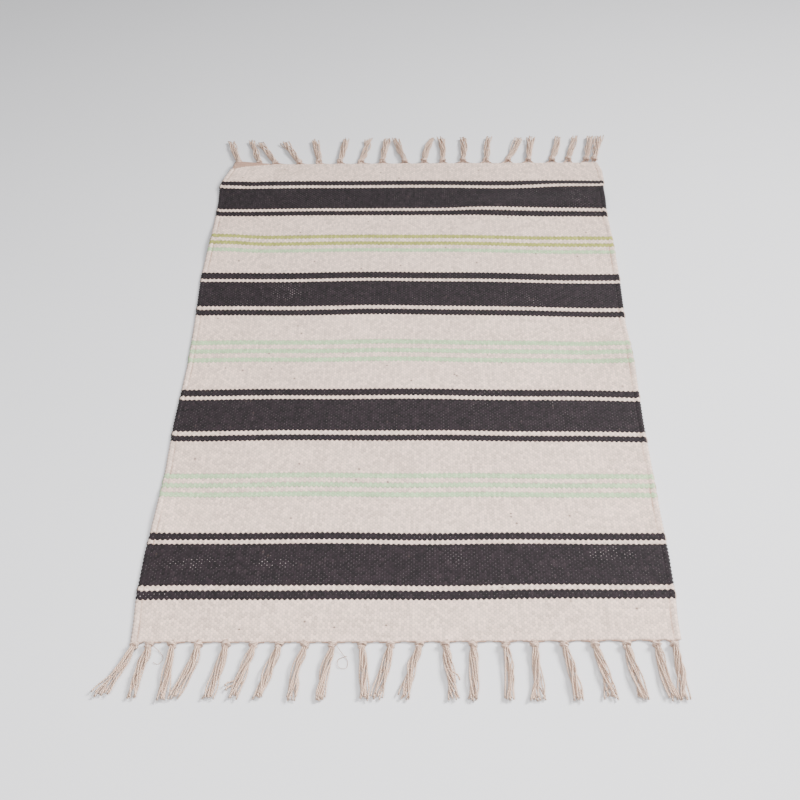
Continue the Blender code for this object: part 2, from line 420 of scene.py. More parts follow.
class Lie:
    """Where each point of the flat cloth lies on the floor, from a coarse settled sheet."""

    STEP = 0.01

    def __init__(self):
        self.columns = round(2 * HALF_WIDTH / self.STEP) + 1
        self.rows = round((FAR_EDGE - NEAR_EDGE) / self.STEP) + 1
        self.x = np.linspace(-HALF_WIDTH, HALF_WIDTH, self.columns)
        self.y = np.linspace(NEAR_EDGE, FAR_EDGE, self.rows)
        self.shift = self.stray()

    def stray(self):
        """How the cloth strays from flat before it settles: edges that wander, a soft crease,
        a curled corner and low ripples along the long edges."""
        lie = setting("lie")
        x, y = np.meshgrid(self.x, self.y)
        along = (y - NEAR_EDGE) * 1000
        left = np.interp(along, *np.transpose(LEFT_STRAY)) / 1000
        right = np.interp(along, *np.transpose(RIGHT_STRAY)) / 1000
        share = (x + HALF_WIDTH) / (2 * HALF_WIDTH)
        across = right * smooth(share * 2 - 1) * share - left * smooth(1 - share * 2) * (1 - share)
        length = (0.0006 * np.sin(x * 17 + 1.2) * np.sin(y * 6 + 0.5)
                  + 0.0005 * np.sin(x * 31 + y * 13 + 2.0))
        length = length * smooth((FAR_EDGE - np.abs(y)) / 0.08)
        trail = np.interp(along, *np.transpose(PICK_TRAIL)) / 1000
        length = length - trail * np.clip((x + 0.06) / (HALF_WIDTH + 0.06), 0, 1) ** 1.25
        length = length + 0.0026 * np.clip(-x / HALF_WIDTH, 0, 1) * smooth(1 - (FAR_EDGE - y) / 0.45)
        height = np.zeros_like(x)
        for high, back, at, slant, wide, begin in CREASES:
            line = y - (FAR_EDGE - back + slant * (x - at))
            crease = np.exp(-(line / wide) ** 2) * smooth((x - begin) / CREASE_RISE)
            height = height + lie.crease_height * high * crease
        corner = np.hypot(x + HALF_WIDTH, (FAR_EDGE - y) * 0.9)
        height = height + lie.corner_lift * smooth(1 - corner / 0.075)
        edge = np.abs(x) / HALF_WIDTH
        ripple = (0.5 + 0.5 * np.sin(y * 37 + np.sign(x) * 1.3)) * (0.6 + 0.4 * np.sin(y * 11 + x * 5))
        height = height + lie.edge_ripple * ripple * smooth((edge - 0.62) / 0.38)
        height = height + 0.0009 * (1 + np.sin(x * 14 + y * 9) * np.sin(y * 12 - x * 7))
        height = height * smooth((y - NEAR_EDGE + 0.012) / 0.05) * smooth((FAR_EDGE - y + 0.030) / 0.05)
        return np.stack([across, length, height], axis=-1)

    def settle(self):
        """Lets the sheet settle on the floor under its own weight, as stiff flat-woven cotton does."""
        x, y = np.meshgrid(self.x, self.y)
        half = THICKNESS / 2
        start = np.stack([x, y, np.full_like(x, half)], axis=-1) + self.shift
        rows, columns = x.shape
        quads = corner_values(np.arange(rows * columns).reshape(rows, columns))
        mesh = bpy.data.meshes.new("settling_sheet")
        mesh.from_pydata(start.reshape(-1, 3).tolist(), [], quads.reshape(-1, 4).tolist())
        sheet = bpy.data.objects.new("settling_sheet", mesh)
        bpy.context.scene.collection.objects.link(sheet)
        bpy.ops.object.select_all(action="DESELECT")
        bpy.ops.mesh.primitive_plane_add(size=3.0, location=(0, 0, 0))
        ground = bpy.context.object
        ground.modifiers.new("Collision", "COLLISION")
        ground.collision.thickness_outer = 0.001
        ground.collision.cloth_friction = 60
        held = sheet.vertex_groups.new(name="held")
        lift = self.shift[..., 2].reshape(-1)
        for number, share in enumerate(smooth((lift - 0.0012) / 0.0035) * 0.9):
            held.add([number], float(share), "REPLACE")
        cloth = sheet.modifiers.new("Cloth", "CLOTH")
        cloth.settings.vertex_group_mass = held.name
        for name, value in CLOTH_SETTINGS.items():
            setattr(cloth.settings, name, value)
        cloth.collision_settings.distance_min = 0.001
        scene = bpy.context.scene
        frames = setting("lie").settle_frames
        cloth.point_cache.frame_start = 1
        cloth.point_cache.frame_end = frames
        for number in range(1, frames + 1):
            scene.frame_set(number)
        bpy.ops.object.select_all(action="DESELECT")
        sheet.select_set(True)
        bpy.context.view_layer.objects.active = sheet
        bpy.ops.object.modifier_apply(modifier=cloth.name)
        settled = np.empty(len(sheet.data.vertices) * 3, np.float32)
        sheet.data.vertices.foreach_get("co", settled)
        settled = settled.reshape(rows, columns, 3).astype(float)
        bpy.data.objects.remove(sheet)
        bpy.data.objects.remove(ground)
        scene.frame_set(1)
        flat = np.stack([x, y, np.full_like(x, half)], axis=-1)
        moved = settled - flat
        moved[..., 2] -= moved[..., 2].min()
        furthest = np.abs(moved - self.shift).max()
        if not np.isfinite(furthest) or furthest > SETTLED_AT_MOST:
            raise RuntimeError("the settling sheet moved further than cloth on a floor does")
        self.shift = moved

    def at(self, x, y):
        """The shift of points of the flat cloth, read smoothly from the coarse sheet."""
        across = np.clip((x - self.x[0]) / (self.x[1] - self.x[0]), 0, self.columns - 1.001)
        along = np.clip((y - self.y[0]) / (self.y[1] - self.y[0]), 0, self.rows - 1.001)
        column, row = across.astype(int), along.astype(int)
        total = np.zeros(x.shape + (3,))
        for i, wide in enumerate(self.weights(across - column)):
            for j, long in enumerate(self.weights(along - row)):
                near_column = np.clip(column + i - 1, 0, self.columns - 1)
                near_row = np.clip(row + j - 1, 0, self.rows - 1)
                total += (wide * long)[..., None] * self.shift[near_row, near_column]
        return total

    @staticmethod
    def weights(share):
        """Catmull-Rom weights of four neighbours."""
        return (
            ((2 - share) * share - 1) * share / 2,
            ((3 * share - 5) * share * share + 2) / 2,
            ((4 - 3 * share) * share + 1) * share / 2,
            (share - 1) * share * share / 2,
        )

    def place(self, x, y, height):
        """Points of the cloth at a height above its middle, along its own upward direction."""
        step = 0.002
        middle = np.stack([x, y, np.full_like(x, THICKNESS / 2)], axis=-1) + self.at(x, y)
        wide = (self.at(x + step, y) - self.at(x - step, y)) / (2 * step) + (1.0, 0.0, 0.0)
        long = (self.at(x, y + step) - self.at(x, y - step)) / (2 * step) + (0.0, 1.0, 0.0)
        up = np.cross(wide, long)
        up /= np.linalg.norm(up, axis=-1, keepdims=True)
        return middle + up * np.asarray(height)[..., None]


LYING = {}


def lying():
    """The cloth as it lies, settled once."""
    if "cloth" not in LYING:
        raise RuntimeError("the cloth is laid out before anything is woven or knotted")
    return LYING["cloth"]


# ---------------------------------------------------------------- fringe places

def knot_places(side):
    """The knot centres and tassel tips of one end, from the CAD's swing joints and tassels."""
    found = []
    for name in sorted(NODES):
        if not name.startswith(f"tassel_{side}_"):
            continue
        points = node_points(name)
        reach = np.abs(points[:, 1])
        tip = points[reach > reach.max() - 0.001].mean(axis=0)
        found.append((name, np.array(JOINTS[name]["pos_m"], float), tip))
    return found


def edge_pull(x, y):
    """How the ends of the cloth are drawn out at each knot and hollow between knots."""
    pull = np.zeros_like(x)
    for side, edge, outwards in (("near", NEAR_EDGE, -1.0), ("far", FAR_EDGE, 1.0)):
        drawn = np.zeros_like(x)
        for _, knot, _ in knot_places(side):
            drawn = np.maximum(drawn, np.exp(-((x - knot[0]) / 0.0058) ** 2))
        fade = np.exp(-np.abs(y - edge) / 0.007)
        pull += outwards * (0.0014 * drawn - 0.0005) * fade
    return pull - corner_slip(x) * smooth(1 - (FAR_EDGE - y) / CORNER_SLIP_REACH)


def corner_slip(x):
    """How far the last picks have slid back from the ends of the warps at the curled corner."""
    return CORNER_SLIP * np.clip((CORNER_X - x) / (CORNER_X + HALF_WIDTH), 0.0, 1.0)


# ---------------------------------------------------------------- weaving

def pick_grid():
    """Number of warps, of half picks, and the length of half a pick."""
    weave = setting("weave")
    warps = round(2 * HALF_WIDTH / weave.warp_pitch)
    picks = round((FAR_EDGE - NEAR_EDGE) / weave.pick_pitch)
    return warps, 2 * picks, (FAR_EDGE - NEAR_EDGE) / (2 * picks)


def band_limits(node):
    """The bands of a woven CAD node, as pairs of distances along the mat."""
    levels = np.unique(np.round(node_points(node)[:, 1], 5))
    return [(levels[i], levels[i + 1]) for i in range(0, len(levels), 2)]


def true_bands(nodes):
    """The bands of one or more nodes, with the bands that meet made one."""
    bands = []
    for node in nodes:
        for low, high in band_limits(node):
            low, high = low - CLEARANCE / 2, high + CLEARANCE / 2
            if bands and low - bands[-1][1] < CLEARANCE:
                bands[-1][1] = high
            else:
                bands.append([low, high])
    return bands


def counted_place(level):
    """The half pick where a border at a distance along the mat falls."""
    _, halves, half_pick = pick_grid()
    place = (level - NEAR_EDGE) / half_pick
    if place < 1:
        return 0
    if place > halves - 1:
        return halves
    return 2 * round((place - 1) / 2) + 1


def joined_bands(nodes):
    """The bands of one or more nodes in half picks."""
    return [(counted_place(low), counted_place(high)) for low, high in true_bands(nodes)]


BORDERS = {}


def mat_length(place):
    """The distance along the mat of places counted in half picks. The picks of each stripe are
    spaced to bring its borders to their true places, and dark picks spread a little wider."""
    _, halves, _ = pick_grid()
    if not BORDERS:
        BORDERS.update({0: NEAR_EDGE, halves: FAR_EDGE})
        for _, nodes, _, slot in WOVEN_PIECES:
            if slot != "cream_yarn":
                spread = DARK_SPREAD if slot == "charcoal_yarn" else 0.0
                for low, high in true_bands(nodes):
                    BORDERS[counted_place(low)] = low - spread
                    BORDERS[counted_place(high)] = high + spread
    counted = sorted(BORDERS)
    return np.interp(place, counted, [BORDERS[border] for border in counted])


def scallop(border, warps, halves):
    """How far the float over each warp reaches past a border of two yarns, in half picks."""
    reach = np.zeros(2 * warps + 1)
    if border in (0, halves):
        return reach
    later = np.arange(warps) % 2 == (1 if (border - 1) % 4 == 0 else 0)
    reach[1::2] = np.where(later, 1.0, -1.0)
    return reach


def float_relief(index, place):
    """Height of the weft floats, from 0 in the hollows to 1 on the crests, and their sideways sway."""
    weave = setting("weave")
    warp = (index // 2).astype(float)
    share = (place / 4 + 0.5 * (warp % 2)) % 1.0
    crest = np.sin(math.pi * share) ** 0.55
    centre = index % 2 == 1
    height = np.where(centre, 0.12 + 0.88 * crest, 0.22)
    sway = np.where(centre, 0.0, weave.float_sway * np.cos(TAU * share))
    return height, sway


def add_band(surface, low, high, slot, slots):
    """Adds one closed band of cloth between two borders, woven on both faces."""
    weave = setting("weave")
    warps, halves, _ = pick_grid()
    rows = high - low + 1
    columns = 2 * warps + 1
    index = np.tile(np.arange(columns), (rows, 1))
    place = np.tile(np.arange(low, high + 1, dtype=float)[:, None], (1, columns))
    for border, order in ((low, 1), (high, -1)):
        reach = scallop(border, warps, halves)
        for step, share in ((0, 1.0), (1, 0.5)):
            row = step if order == 1 else rows - 1 - step
            place[row] += share * reach * SCALLOP_REACH
    height, sway = float_relief(index, place)
    x = -HALF_WIDTH + index * HALF_WIDTH / warps + sway
    y = mat_length(place)
    y = y + edge_pull(x, y)
    from_edge = np.minimum(index, columns - 1 - index)
    rim = 2 * weave.selvedge_warps
    half = THICKNESS / 2
    crest = half - weave.relief * (1 - height)
    crest = crest + np.where(from_edge < rim, weave.selvedge_rise, 0.0)
    crest = crest - np.where(from_edge == rim, weave.relief * 0.45, 0.0)
    crest = crest - np.where(from_edge == 0, half * 0.55, 0.0)
    for border, row in ((low, 0), (high, rows - 1)):
        if border in (0, halves):
            crest[row] -= half * 0.25
    cloth = lying()
    top = cloth.place(x, y, crest)
    bottom = cloth.place(x, y, -crest)
    bottom[..., 2] = np.maximum(bottom[..., 2], 0.00005)
    # The rim lies half way between the faces, and bulges at each turn of the weft.
    middle = (top + bottom) / 2
    loops = 0.0007 * np.abs(np.sin(math.pi * (place[:, 0] / 4 + 0.25))) + 0.0003
    edge = np.empty((rows + 2, columns + 2, 3))
    edge[1:-1, 0], edge[1:-1, -1] = middle[:, 0], middle[:, -1]
    edge[1:-1, 0, 0] -= loops
    edge[1:-1, -1, 0] += loops[::-1]
    edge[0, 1:-1], edge[-1, 1:-1] = middle[0], middle[-1]
    for row, border, outwards in ((0, low, -1), (-1, high, 1)):
        if border in (0, halves):
            edge[row, 1:-1, 1] += outwards * EDGE_TURN
    # The rim is shared by both faces, and its corners fold into the selvedge points beside them.
    on_rim = np.ones((rows + 2, columns + 2), bool)
    on_rim[1:-1, 1:-1] = False
    on_rim[[0, 0, -1, -1], [0, -1, 0, -1]] = False
    shared = np.zeros(on_rim.shape, int)
    shared[on_rim] = 2 * rows * columns + np.arange(on_rim.sum())
    for row, beside in ((0, 1), (-1, -2)):
        shared[row, [0, -1]] = shared[beside, [0, -1]]
    number = np.tile(shared, (2, 1, 1))
    number[:, 1:-1, 1:-1] = np.arange(2 * rows * columns).reshape(2, rows, columns)
    first = surface.add_points(np.concatenate([top.reshape(-1, 3), bottom.reshape(-1, 3), edge[on_rim]]))
    yarn = np.stack([np.pad(index / 2, 1, mode="edge"), np.pad(place / 4, 1, mode="edge")], axis=-1)
    spread_x = (np.arange(columns + 2) + 0.5) / (columns + 2)
    spread_y = (np.arange(rows + 2) + 0.5) / (rows + 2)
    for face, grid in enumerate(number):
        bake = np.stack(np.meshgrid(spread_x, (slot + (face + spread_y) / 2) / slots), axis=-1)
        quads = corner_values(grid).reshape(-1, 4)
        layers = [corner_values(values).reshape(-1, 4, 2) for values in (yarn, bake)]
        if face == 1:
            quads = quads[:, ::-1]
            layers = [values[:, ::-1] for values in layers]
        same = quads == np.roll(quads, -1, axis=1)
        plain = ~same.any(axis=1)
        surface.add_faces(quads[plain], first, *(values[plain] for values in layers))
        for quad in np.nonzero(~plain)[0]:
            keep = ~same[quad]
            surface.add_faces(quads[quad][keep][None], first, *(values[quad][keep] for values in layers))


def add_carries(surface, bands, side, slots):
    """Adds the yarn that is carried up a selvedge from each band to the next of its run."""
    weave = setting("weave")
    cloth = lying()
    for number, ((_, low), (high, _)) in enumerate(zip(bands[:-1], bands[1:])):
        length = mat_length(high) - mat_length(low)
        if length > CARRIED_AT_MOST:
            continue
        share = np.linspace(0, 1, 15)
        y = mat_length(low - 1.6 + (high - low + 3.2) * share)
        bow = np.sin(math.pi * share)
        x = side * (HALF_WIDTH - 0.0009 + (0.0016 + 0.02 * length) * bow ** 0.7)
        flat_x = np.clip(x, -HALF_WIDTH, HALF_WIDTH)
        points = cloth.place(flat_x, y + edge_pull(flat_x, y), 0.0004 * np.sin(TAU * share + number))
        points[:, 0] += x - flat_x
        add_strand(surface, points, weave.carry_radius, 6, 1, 0.0, number, (number, 16, slots - 1, slots))


def weave_piece(name, nodes, bodies, slot):
    """Weaves one run of yarn, in as many bands as it has."""
    surface = Surface()
    bands = joined_bands(nodes)
    slots = len(bands) + 1
    for place, (low, high) in enumerate(bands):
        add_band(surface, low, high, place, slots)
    add_carries(surface, bands, 1 if slot == "cream_yarn" else -1, slots)
    piece = surface.build(name, yarn_material(slot))
    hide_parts(*nodes)
    if len(bodies) == 1:
        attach(piece, bodies[0])
    else:
        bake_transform(piece)
    length = float(sum(mat_length(high) - mat_length(low) for low, high in bands))
    return piece, (2 * HALF_WIDTH, length)


# ---------------------------------------------------------------- materials

class Value:
    """A number, colour or vector on its way through a material. Sums on it add Math nodes."""

    def __init__(self, shade, socket):
        self.shade, self.socket = shade, socket

    def math(self, operation, *others):
        inputs = dict(enumerate((self, *others)))
        return self.shade.node("ShaderNodeMath", {"operation": operation}, inputs)

    def __add__(self, other):
        return self.math("ADD", other)

    __radd__ = __add__

    def __sub__(self, other):
        return self.math("SUBTRACT", other)

    def __rsub__(self, other):
        return (self * -1) + other

    def __mul__(self, other):
        return self.math("MULTIPLY", other)

    __rmul__ = __mul__

    def __truediv__(self, other):
        return self.math("DIVIDE", other)

    def __mod__(self, other):
        return self.math("FLOORED_MODULO", other)

    def __pow__(self, other):
        return self.math("POWER", other)

    def __abs__(self):
        return self.math("ABSOLUTE")

    def floor(self):
        return self.math("FLOOR")

    def sine(self):
        return self.math("SINE")

    def above(self, limit, softness):
        """0 below limit and 1 from limit + softness on, eased between them."""
        inputs = {"Value": self, "From Min": limit, "From Max": limit + softness}
        return self.shade.node("ShaderNodeMapRange", {"interpolation_type": "SMOOTHSTEP"}, inputs)


class Shade:
    """One material while it is put together."""

    def __init__(self, name):
        self.material = bpy.data.materials.new(name)
        self.material.use_nodes = True
        self.tree = self.material.node_tree
        self.tree.nodes.clear()

    def node(self, kind, settings=None, inputs=None, output=0):
        """Adds a node, sets it, feeds its sockets with values or links, and returns one output."""
        made = self.tree.nodes.new(kind)
        for key, value in (settings or {}).items():
            setattr(made, key, value)
        for key, value in (inputs or {}).items():
            if isinstance(value, Value):
                self.tree.links.new(value.socket, made.inputs[key])
            else:
                made.inputs[key].default_value = value
        return Value(self, made.outputs[output]) if made.outputs else None

    def split(self, vector):
        """The x and y of a vector."""
        first = self.node("ShaderNodeSeparateXYZ", inputs={0: vector})
        return first, Value(self, first.socket.node.outputs[1])

    def point(self, x, y, z=0.0):
        return self.node("ShaderNodeCombineXYZ", inputs={0: x, 1: y, 2: z})

    def noise(self, vector, scale, detail=2.0, roughness=0.5):
        inputs = {"Vector": vector, "Scale": scale, "Detail": detail, "Roughness": roughness}
        return self.node("ShaderNodeTexNoise", inputs=inputs)

    def spot(self, vector, x, y, wide, long):
        """1 at a place of the cloth, and 0 at the edge of an oval around it."""
        across, along = self.split(vector)
        return 1 - (((across - x) / wide) ** 2 + ((along - y) / long) ** 2)

    def chance(self, vector):
        """A random number for each whole place."""
        return self.node("ShaderNodeTexWhiteNoise", {"noise_dimensions": "3D"}, {"Vector": vector})

    def mix(self, share, first, second):
        settings = {"data_type": "RGBA", "clamp_factor": True}
        return self.node("ShaderNodeMix", settings, {0: share, 6: first, 7: second}, output=2)

    def tone(self, colour, factor):
        """A colour made lighter or darker by a factor."""
        vector = colour if isinstance(colour, Value) else colour[:3]
        return self.node("ShaderNodeVectorMath", {"operation": "SCALE"}, {0: vector, "Scale": factor})

    def finish(self, colour, roughness, height, depth, sheen):
        """Closes the material with the cotton shader."""
        bump = self.node("ShaderNodeBump", inputs={"Height": height, "Strength": 1.0, "Distance": depth})
        inputs = {"Base Color": colour, "Roughness": roughness, "Normal": bump,
                  "Sheen Weight": sheen, "Sheen Roughness": 0.6, "Specular IOR Level": 0.25}
        shader = self.node("ShaderNodeBsdfPrincipled", inputs=inputs)
        self.node("ShaderNodeOutputMaterial", inputs={"Surface": shader})
        return self.material


def opaque(colour):
    return (*colour[:3], 1.0)


# For each yarn: how much single floats differ, how strong the pale warp specks are, how strong the
# trash flecks of raw cotton are, how much painted shade darkens the hollows between floats, and how
# strong the painted shade along the selvedge seam is.
YARN_LOOKS = {
    "cream_yarn": (0.19, 0.0, 1.0, 0.34, 0.62),
    "charcoal_yarn": (0.46, 0.62, 0.12, 0.45, 0.0),
    "mint_yarn": (0.16, 0.10, 0.15, 0.30, 0.35),
    "lime_yarn": (0.20, 0.12, 0.30, 0.30, 0.35),
}
MATERIALS = {}

# Where the picks lie slack and show more of the warp: x, y, and half the width and length.
SLACK_PLACES = (
    (-0.245, NEAR_EDGE + 0.104, 0.042, 0.011),
    (-0.284, NEAR_EDGE + 0.060, 0.026, 0.010),
    (-0.150, NEAR_EDGE + 0.104, 0.030, 0.008),
    (0.235, NEAR_EDGE + 0.118, 0.040, 0.012),
)


def woven_material(slot):
    """Woven cotton: floats that differ one by one, warp that peeks out between them, streaks along
    the picks, soft clouds of tone, trash flecks, a fine twist on each float, and shade painted into
    the hollows between floats and along the selvedge seam."""
    vary, speck_strength, trash, hollow_shade_strength, seam_shade_strength = YARN_LOOKS[slot]
    colours = setting("colours")
    base = opaque(getattr(colours, slot))
    shade = Shade(slot)
    yarn = shade.node("ShaderNodeUVMap", {"uv_map": "Yarn"})
    place = shade.node("ShaderNodeTexCoord", output=3)
    across, along = shade.split(yarn)
    warp = across.floor()
    side = across - warp
    shifted = along + (warp % 2) * 0.5
    pick = shifted.floor()
    share = shifted - pick
    own = shade.chance(shade.point(warp, pick, 3.0))
    other = shade.chance(shade.point(warp, pick, 8.0))
    clouds = shade.noise(place, 9.0, 3.0)
    streak = shade.noise(shade.point(across * 0.035, (along * 2).floor() * 7.31), 1.0, 2.0)
    grain = shade.noise(place, 900.0, 2.0, 0.6)
    off_side = abs(side - 0.5) * 2
    off_end = abs(share - 0.5) * 2
    hollow = (off_side ** 3) * 0.6 + (off_end ** 4) * 0.7
    tone = 1 + (own - 0.5) * (2 * vary) + (streak - 0.5) * (1.2 * vary + 0.03)
    columns = shade.noise(shade.point(warp * 3.17, along * 0.12), 1.0, 2.0)
    tone = tone + (columns - 0.5) * (1.3 * vary)
    tone = tone + (clouds - 0.5) * (0.5 * vary + 0.05) + (grain - 0.5) * (0.25 + 2 * vary)
    # Painted shade: the colour is darkened in the hollows at the sides and ends of each float.
    tone = tone * (1 - hollow * hollow_shade_strength)
    colour = shade.tone(base, tone)
    # Soft patches of the cotton lean towards pink and grey.
    lean = shade.noise(place, 23.0, 4.0, 0.6).above(0.52, 0.25)
    colour = shade.mix(lean * 0.22, colour, shade.tone(base, 0.93))
    patch = shade.noise(place, 13.0, 4.0, 0.6).above(0.56, 0.16)
    for slack in SLACK_PLACES:
        patch = patch + shade.spot(place, *slack).above(0.0, 0.8) * 0.9
    peek = 1 - ((abs(side - 0.5) / 0.25) ** 2 + ((1 - off_end) / 0.22) ** 2)
    speck = peek.above(0.0, 0.6) * (0.26 + patch) * other.above(0.20, 0.7) * speck_strength
    colour = shade.mix(speck, colour, opaque(colours.peeping_warp))
    fleck = other.above(0.9955, 0.001) * peek_free(side, share)
    colour = shade.mix(fleck * trash, colour, (0.19, 0.125, 0.10, 1.0))
    faint = own.above(0.975, 0.005) * 0.16
    colour = shade.mix(faint * trash, colour, (0.30, 0.22, 0.22, 1.0))
    # The doubled outer warps stand apart from the cloth along a thin hollow, and shade is painted
    # along that hollow as a broken dark line.
    warps, _, _ = pick_grid()
    inward = warps / 2 - abs(across - warps / 2)
    seam = 1 - abs(inward - setting("weave").selvedge_warps - 0.35) / 0.45
    broken = shade.noise(shade.point(along * 0.09, warp * 5.0), 1.0, 3.0).above(0.35, 0.3)
    colour = shade.mix(seam.above(0.0, 0.7) * broken * seam_shade_strength, colour, opaque(colours.ply_shadow))
    twist = ((side * 3.0 + share * 2.0) * TAU).sine()
    fuzz = shade.noise(place, 2600.0, 2.0, 0.7)
    height = twist * 0.22 + fuzz * 0.5 + grain * 0.5 - hollow * 0.5
    roughness = 0.82 + (grain - 0.5) * 0.12
    sheen = 0.02 if slot == "charcoal_yarn" else 0.08
    return shade.finish(colour, roughness, height, 0.00030, sheen)


def peek_free(side, share):
    """A small blot in the middle of a float."""
    return (1 - ((abs(side - 0.5) / 0.42) ** 2 + (abs(share - 0.5) / 0.30) ** 2)).above(0.0, 0.5)


def strand_material(slot):
    """Plied cotton: a warm shadow painted between the plies, shade painted on the gathered warp ends,
    strands that differ, darker stains, and fine fibres.
    """
    colours = setting("colours")
    base = opaque(getattr(colours, slot))
    shadow = opaque(colours.ply_shadow)
    shade = Shade(slot)
    yarn = shade.node("ShaderNodeUVMap", {"uv_map": "Yarn"})
    place = shade.node("ShaderNodeTexCoord", output=3)
    round_share, along = shade.split(yarn)
    number = round_share.floor()
    share = round_share - number
    waist = 1 - abs(((share * TAU) + math.pi / 2).sine())
    own = shade.chance(shade.point(number, 2.0, 5.0))
    thick = shade.noise(shade.point(number * 3.7, along * 120.0), 1.0, 2.0)
    grain = shade.noise(place, 1400.0, 3.0, 0.65)
    tone = 0.93 + own * 0.16 + (thick - 0.5) * 0.16 + (grain - 0.5) * 0.22
    colour = shade.tone(base, tone)
    # Painted shade in the grooves between the two plies of each strand.
    colour = shade.mix(waist.above(0.36, 0.55) * 0.88, colour, shadow)
    # Painted shade: every gathered warp end and every end at the curled corner is darkened toward the ply
    # shadow colour.
    gathered = number.above(GATHERED_FROM - 1, 0.5)
    colour = shade.mix(gathered * 0.38, colour, shadow)
    stain = shade.noise(place, 160.0, 3.0).above(0.55, 0.2) * 0.18
    colour = shade.mix(stain, colour, shadow)
    fibres = ((share * 9.0 + along * 900.0) * TAU).sine()
    height = fibres * 0.25 + grain - waist * 0.6
    roughness = 0.85 + (grain - 0.5) * 0.1
    return shade.finish(colour, roughness, height, 0.00018, 0.15)


def yarn_material(slot):
    """The material of one of the record's yarns, made once."""
    if slot not in MATERIALS:
        make = woven_material if slot in YARN_LOOKS else strand_material
        MATERIALS[slot] = make(slot)
    return MATERIALS[slot]


# ---------------------------------------------------------------- fringe

def knot_strands(surface, rng, knot, outwards, first_number, total):
    """Ties one overhand knot: a bundle of strands turned once and a half round the neck."""
    fringe = setting("fringe")
    hand = rng.choice((-1, 1))
    begin = rng.uniform(0, TAU)
    radius = fringe.knot_strand_radius
    share = np.linspace(0, 1, 27)
    angle = begin + hand * TAU * KNOT_TURNS * share
    wrap = fringe.knot_turn_radius * (0.55 + 0.45 * np.sin(math.pi * share) ** 0.5)
    tilt = 0.0011 * np.sin(angle - begin + 0.8)
    centre = np.stack([
        knot[0] + wrap * 1.04 * np.cos(angle),
        knot[1] - outwards * (0.0030 - 0.0058 * share) + tilt,
        knot[2] + wrap * 0.84 * np.sin(angle)], axis=-1)
    sides, ups = carried_frames(centre)
    for strand in range(KNOT_STRANDS):
        corner = TAU * (strand + 0.5) / KNOT_STRANDS + TAU * 0.5 * share * hand
        path = centre + radius * 0.98 * (
            np.cos(corner)[:, None] * sides + np.sin(corner)[:, None] * ups)
        path[:, 2] = np.maximum(path[:, 2], radius + 0.0001)
        number = first_number + strand
        add_strand(surface, path, radius, 6, 2, share * TAU * 3.0, number, strips_of(number, total))


def strips_of(number, total):
    """The place of one strand's strip among all the strips of a piece."""
    columns = math.ceil(math.sqrt(total) * 2.5)
    rows = math.ceil(total / columns)
    return number % columns, columns, number // columns, rows


def neck_threads(surface, rng, places, edge, outwards, first_number, total):
    """Lays the warp ends along the cloth's end edge and gathers them into the knots."""
    warps, _, _ = pick_grid()
    cloth = lying()
    centres = np.array([knot[0] for _, knot, _ in places])
    share = np.linspace(0, 1, 9)
    blend = smooth((share - 0.45) / 0.55)[:, None]
    for warp in range(warps):
        x = -HALF_WIDTH + (warp + 0.5) * 2 * HALF_WIDTH / warps
        knot = places[int(np.argmin(np.abs(centres - x)))][1]
        begin = NECK_START + (float(corner_slip(x)) if outwards > 0 else 0.0)
        goal_x = knot[0] + np.clip(x - knot[0], -NECK_HALF_WIDTH, NECK_HALF_WIDTH)
        run_x = x + (goal_x - x) * share ** 1.4
        drawn = np.exp(-((run_x - knot[0]) / 0.0040) ** 2) * smooth((share - 0.3) / 0.7)
        bank = 0.0001 + 0.0004 * rng.random()
        run_y = edge + outwards * (
            -begin + (begin + bank) * smooth(share * 3) + (abs(knot[1] - edge) - bank - 0.0010) * drawn)
        on_cloth = np.clip(run_y, NEAR_EDGE, FAR_EDGE)
        points = cloth.place(run_x, on_cloth, np.zeros_like(run_x))
        points[:, 1] += run_y - on_cloth
        goal = np.stack([run_x, run_y, np.full_like(run_x, knot[2])], axis=-1)
        points = points * (1 - blend) + goal * blend
        points[:, 2] += rng.uniform(-0.0012, 0.0004) * smooth(share * 2)
        points[:, 2] = np.maximum(points[:, 2], 0.0007)
        strips = strips_of(first_number + warp, total)
        # Numbered from GATHERED_FROM, so that the material paints shade on these ends.
        add_strand(surface, points, GATHERED_RADIUS, 5, 1, 0.0, GATHERED_FROM + warp, strips)


def corner_ends(surface, first_number, total):
    """Lays the warp ends that lie along the far edge where the last picks have slid back."""
    cloth = lying()
    share = np.linspace(0, 1, 12)
    across, back = CORNER_END_STEP
    for end in range(CORNER_ENDS):
        begin = CORNER_X - 0.003 - across * end
        x = begin - (begin + HALF_WIDTH - 0.002) * share
        y = FAR_EDGE - 0.0006 - back * end + 0.0005 * np.sin(share * 9 + end)
        points = cloth.place(x, y, np.full_like(x, 0.0006 - 0.0003 * (end % 2)))
        number = first_number + end
        strips = strips_of(number, total)
        # Numbered from GATHERED_FROM, so that the material paints shade on these ends.
        add_strand(surface, points, CORNER_END_RADIUS, 6, 1, 0.0, GATHERED_FROM + number, strips)


def add_piece(surface, name, slot, body, *nodes):
    """Makes a piece of one yarn that rides on one body, in place of the CAD nodes it stands for."""
    piece = surface.build(name, yarn_material(slot))
    if nodes:
        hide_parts(*nodes)
    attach(piece, body)


def tie_end(side, body, edge, outwards, node):
    """Makes the gathered warp ends and the knots of one end of the mat."""
    rng = np.random.default_rng(71 if side == "near" else 72)
    warps, _, _ = pick_grid()
    places = knot_places(side)
    surface = Surface()
    in_knots = KNOT_STRANDS * len(places)
    total = warps + in_knots + CORNER_ENDS
    for place, (_, knot, _) in enumerate(places):
        knot_strands(surface, rng, knot, outwards, KNOT_STRANDS * place, total)
    neck_threads(surface, rng, places, edge, outwards, in_knots, total)
    if side == "far":
        corner_ends(surface, in_knots + warps, total)
    add_piece(surface, f"knots_{side}", "warp_yarn", body, node)


